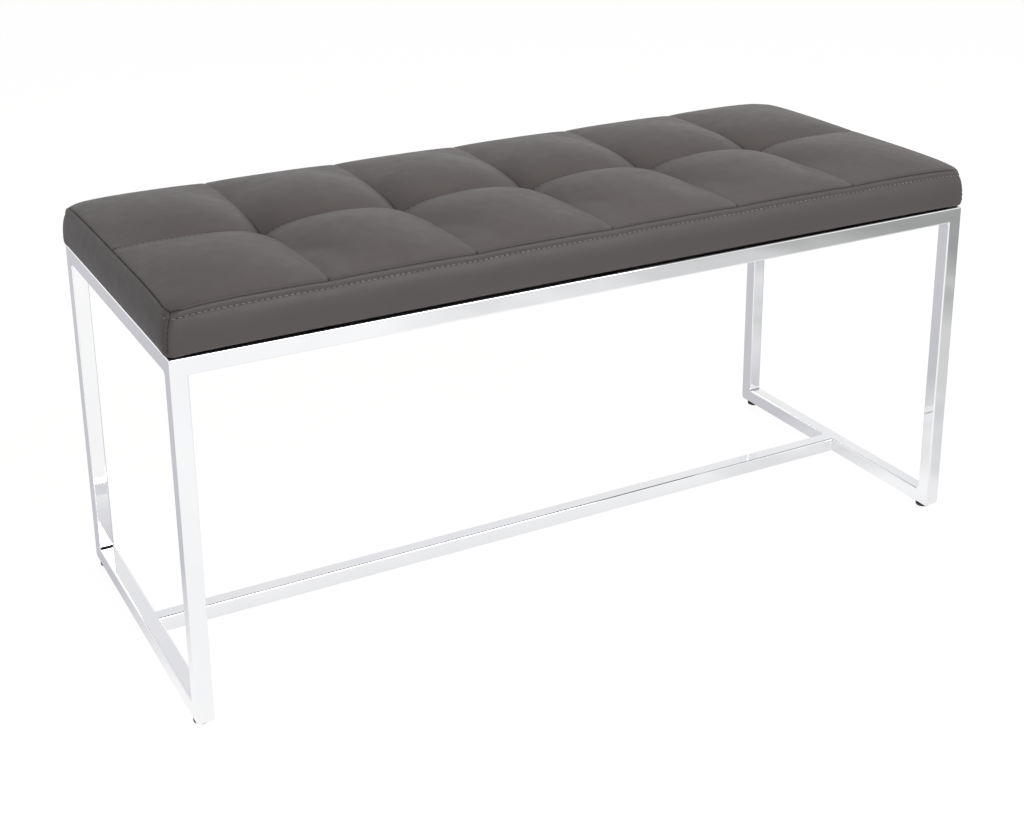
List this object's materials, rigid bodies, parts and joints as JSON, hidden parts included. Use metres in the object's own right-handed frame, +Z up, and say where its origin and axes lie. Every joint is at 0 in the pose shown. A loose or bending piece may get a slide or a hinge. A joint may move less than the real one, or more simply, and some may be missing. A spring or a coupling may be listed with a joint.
{
  "type": "narrow bench",
  "caption": "Narrow upholstered bench: a tufted leather-look pad on a chrome frame of square tube with closed end loops, a low stretcher and levelling glides.",
  "frame": {"origin": "on the floor under the middle of the bench", "axes": "+X along the length of the bench, +Y from front to rear, +Z up"},
  "size_m": [1.0202, 0.4162, 0.49],
  "materials": {
    "chrome_frame": "polished",
    "zinc_steel": "zinc plated",
    "glide_plastic": "moulded",
    "spacer_rubber": "moulded",
    "plywood": "raw plywood",
    "foam": "open cell foam",
    "cover_leather": "fine grain, low sheen",
    "dust_cloth": "non-woven cloth",
    "tie_cord": "twisted cord",
    "toggle_plastic": "moulded"
  },
  "bodies": {
    "frame": {"leg_front_left": "chrome_frame", "leg_rear_left": "chrome_frame", "end_rail_left": "chrome_frame", "floor_rail_left": "chrome_frame", "leg_front_right": "chrome_frame", "leg_rear_right": "chrome_frame", "end_rail_right": "chrome_frame", "floor_rail_right": "chrome_frame", "long_rail_front": "chrome_frame", "long_rail_rear": "chrome_frame", "stretcher": "chrome_frame", "rail_welds": "chrome_frame", "stretcher_welds": "chrome_frame", "seat_tabs": "chrome_frame", "rivet_nuts": "zinc_steel", "seat_washers": "zinc_steel", "seat_screws": "zinc_steel", "tee_nuts": "zinc_steel", "hem_staples": "zinc_steel", "dust_cover_staples": "zinc_steel", "seat_spacers": "spacer_rubber", "seat_board": "plywood", "seat_foam": "foam", "cover_top": "cover_leather", "cover_band_front": "cover_leather", "cover_band_rear": "cover_leather", "cover_band_left": "cover_leather", "cover_band_right": "cover_leather", "dust_cover": "dust_cloth", "tuft_ties": "tie_cord", "tuft_toggles": "toggle_plastic"},
    "foot_stud_front_left": {"glide_stud_front_left": "zinc_steel"},
    "foot_base_front_left": {"glide_base_front_left": "glide_plastic"},
    "foot_stud_front_right": {"glide_stud_front_right": "zinc_steel"},
    "foot_base_front_right": {"glide_base_front_right": "glide_plastic"},
    "foot_stud_rear_left": {"glide_stud_rear_left": "zinc_steel"},
    "foot_base_rear_left": {"glide_base_rear_left": "glide_plastic"},
    "foot_stud_rear_right": {"glide_stud_rear_right": "zinc_steel"},
    "foot_base_rear_right": {"glide_base_rear_right": "glide_plastic"}
  },
  "joints": [
    {"name": "foot_lift_front_left", "type": "slide", "parent": "frame", "child": "foot_stud_front_left", "axis": [0, 0, -1], "range_m": [0, 0.007]},
    {"name": "foot_turn_front_left", "type": "hinge", "parent": "foot_stud_front_left", "child": "foot_base_front_left", "pos_m": [-0.4985, -0.188, 0], "axis": [0, 0, -1], "range_deg": [0, 2610]},
    {"name": "foot_lift_front_right", "type": "slide", "parent": "frame", "child": "foot_stud_front_right", "axis": [0, 0, -1], "range_m": [0, 0.007]},
    {"name": "foot_turn_front_right", "type": "hinge", "parent": "foot_stud_front_right", "child": "foot_base_front_right", "pos_m": [0.4985, -0.188, 0], "axis": [0, 0, -1], "range_deg": [0, 2610]},
    {"name": "foot_lift_rear_left", "type": "slide", "parent": "frame", "child": "foot_stud_rear_left", "axis": [0, 0, -1], "range_m": [0, 0.007]},
    {"name": "foot_turn_rear_left", "type": "hinge", "parent": "foot_stud_rear_left", "child": "foot_base_rear_left", "pos_m": [-0.4985, 0.188, 0], "axis": [0, 0, -1], "range_deg": [0, 2610]},
    {"name": "foot_lift_rear_right", "type": "slide", "parent": "frame", "child": "foot_stud_rear_right", "axis": [0, 0, -1], "range_m": [0, 0.007]},
    {"name": "foot_turn_rear_right", "type": "hinge", "parent": "foot_stud_rear_right", "child": "foot_base_rear_right", "pos_m": [0.4985, 0.188, 0], "axis": [0, 0, -1], "range_deg": [0, 2610]}
  ],
  "couplings": [
    {"joint": "foot_turn_front_left", "follows": "foot_lift_front_left", "rad_per_m": 6283.2},
    {"joint": "foot_turn_front_right", "follows": "foot_lift_front_right", "rad_per_m": 6283.2},
    {"joint": "foot_turn_rear_left", "follows": "foot_lift_rear_left", "rad_per_m": 6283.2},
    {"joint": "foot_turn_rear_right", "follows": "foot_lift_rear_right", "rad_per_m": 6283.2}
  ]
}
